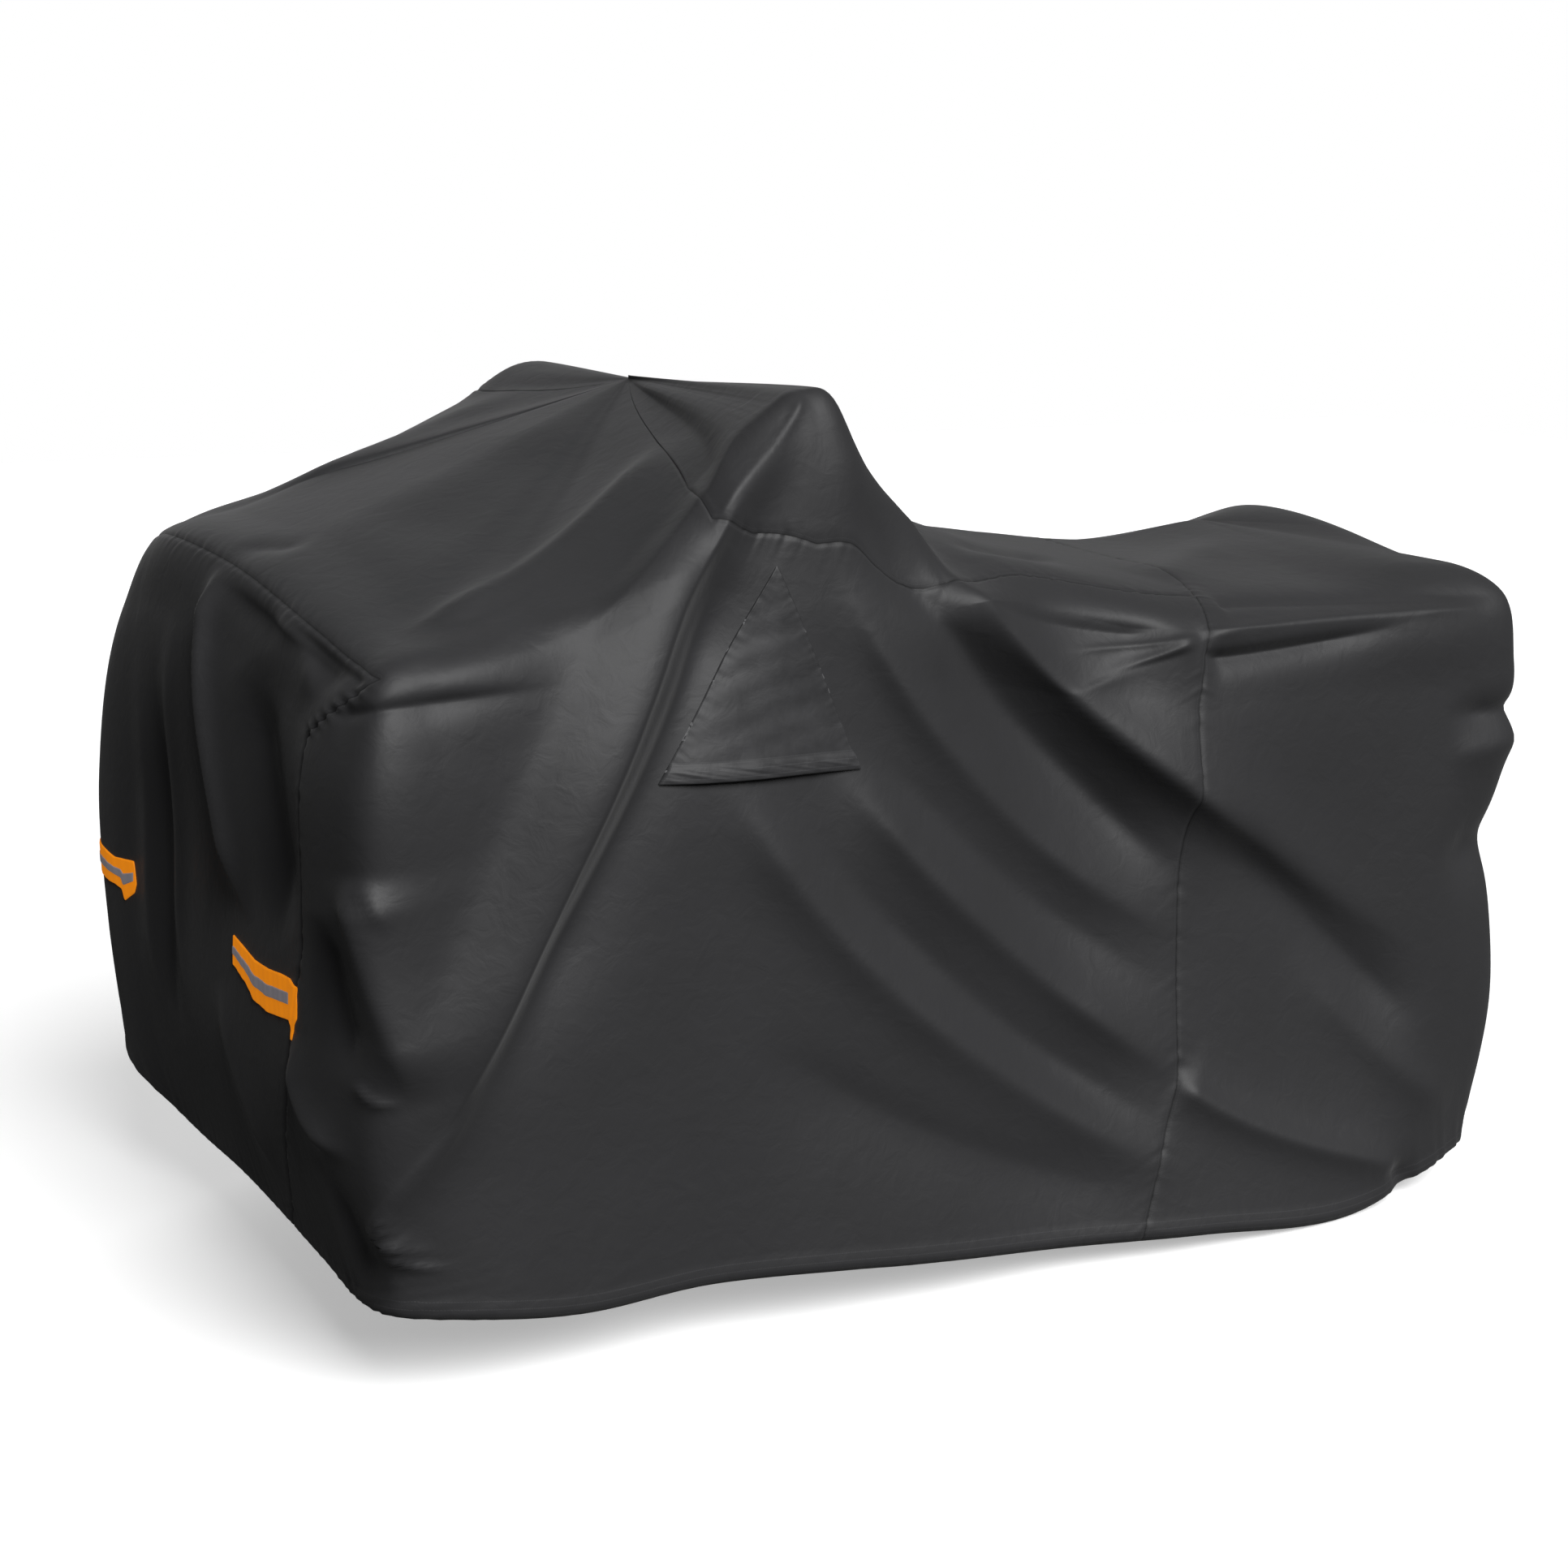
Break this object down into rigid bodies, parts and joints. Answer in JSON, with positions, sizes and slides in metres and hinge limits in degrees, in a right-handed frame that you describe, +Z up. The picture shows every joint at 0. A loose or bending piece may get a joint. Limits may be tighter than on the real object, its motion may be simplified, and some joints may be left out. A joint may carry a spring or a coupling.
{
  "type": "all-terrain vehicle cover",
  "caption": "Dark grey fitted dust cover draped over a four-wheeled all-terrain vehicle, open below, with a triangular vent flap and orange reflective bands.",
  "frame": {"origin": "on the ground under the middle of the cover's bounding box", "axes": "+X towards the tail, +Z up, the near long side faces -Y"},
  "size_m": [2.4186, 1.4677, 1.5552],
  "materials": {
    "cover_cloth": "coated woven polyester, dark charcoal, faint weave",
    "reflective_orange": "bright orange woven band, matt",
    "reflective_grey": "silver-grey retroreflective tape, satin"
  },
  "bodies": {
    "root": {"front_panel": "cover_cloth", "body_panel": "cover_cloth", "top_panel": "cover_cloth", "rear_panel": "cover_cloth", "vent_flap": "cover_cloth", "strip_near": "reflective_orange", "strip_near_tape": "reflective_grey", "strip_far": "reflective_orange", "strip_far_tape": "reflective_grey"}
  },
  "joints": []
}
